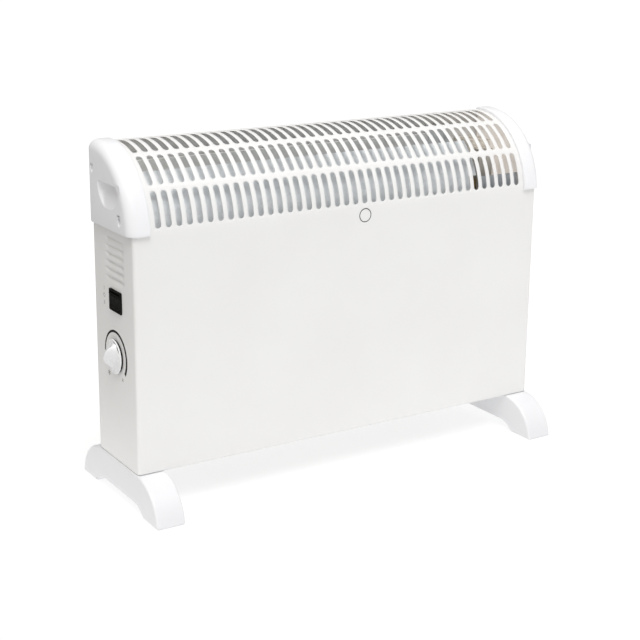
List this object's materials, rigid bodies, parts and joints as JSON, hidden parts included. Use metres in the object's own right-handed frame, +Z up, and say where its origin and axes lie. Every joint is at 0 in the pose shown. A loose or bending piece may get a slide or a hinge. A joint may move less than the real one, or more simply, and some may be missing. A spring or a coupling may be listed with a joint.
{
  "type": "fan convector heater",
  "caption": "Free-standing electric convector heater with a curved slotted top, plastic end caps and feet, thermostat dial, rocker switch and an internal booster fan.",
  "frame": {"origin": "on the floor, at the centre of the bounding box", "axes": "+X along the casing towards the end without controls, +Y from the front towards the back, +Z up"},
  "size_m": [0.5465, 0.1914, 0.388],
  "materials": {
    "white_paint": "satin",
    "white_plastic": "satin",
    "black_plastic": "satin",
    "galvanised_steel": "spangled",
    "dark_steel": "satin",
    "screw_steel": "zinc plated",
    "mica": "flaky",
    "resistance_wire": "oxidised",
    "ceramic": "glazed",
    "winding": "taped",
    "brass": "satin",
    "wire_sleeve": "braided"
  },
  "bodies": {
    "casing": {"front_panel": "white_paint", "back_panel": "white_paint", "base_grid": "white_paint", "left_end_cap": "white_plastic", "right_end_cap": "white_plastic", "left_foot": "white_plastic", "right_foot": "white_plastic", "left_cap_bracket": "galvanised_steel", "right_cap_bracket": "galvanised_steel", "front_shield": "galvanised_steel", "low_front_shield": "galvanised_steel", "rear_shield": "galvanised_steel", "compartment_wall": "galvanised_steel", "fan_bulkhead": "galvanised_steel", "element_rails": "galvanised_steel", "mica_boards": "mica", "lower_heating_coil": "resistance_wire", "upper_heating_coil": "resistance_wire", "coil_terminals": "ceramic", "thermal_cutout": "ceramic", "fan_guard": "black_plastic", "motor_bracket": "galvanised_steel", "motor_stator": "dark_steel", "motor_coil": "winding", "motor_bearings": "brass", "thermostat_body": "ceramic", "switch_housing": "black_plastic", "switch_terminals": "brass", "terminal_block": "ceramic", "cord_gland": "black_plastic", "internal_wires": "wire_sleeve", "cap_screws": "screw_steel", "foot_screws": "screw_steel", "back_screws": "screw_steel", "thermostat_screws": "screw_steel", "motor_screws": "screw_steel"},
    "thermostat_dial": {"thermostat_knob": "white_plastic", "thermostat_spindle": "brass"},
    "rocker": {"switch_rocker": "black_plastic"},
    "fan_rotor": {"motor_rotor": "dark_steel", "fan_impeller": "black_plastic"}
  },
  "joints": [
    {"name": "dial_turn", "type": "hinge", "parent": "casing", "child": "thermostat_dial", "pos_m": [-0.25825, 0, 0.1625], "axis": [1, 0, 0], "range_deg": [0, 290]},
    {"name": "rocker_tilt", "type": "hinge", "parent": "casing", "child": "rocker", "pos_m": [-0.25575, -0.0042, 0.2237], "axis": [0, 1, 0], "range_deg": [-12, 12]},
    {"name": "fan_spin", "type": "hinge", "parent": "casing", "child": "fan_rotor", "pos_m": [0.21075, 0.005, 0.3065], "axis": [1, 0, 0], "continuous": true}
  ]
}
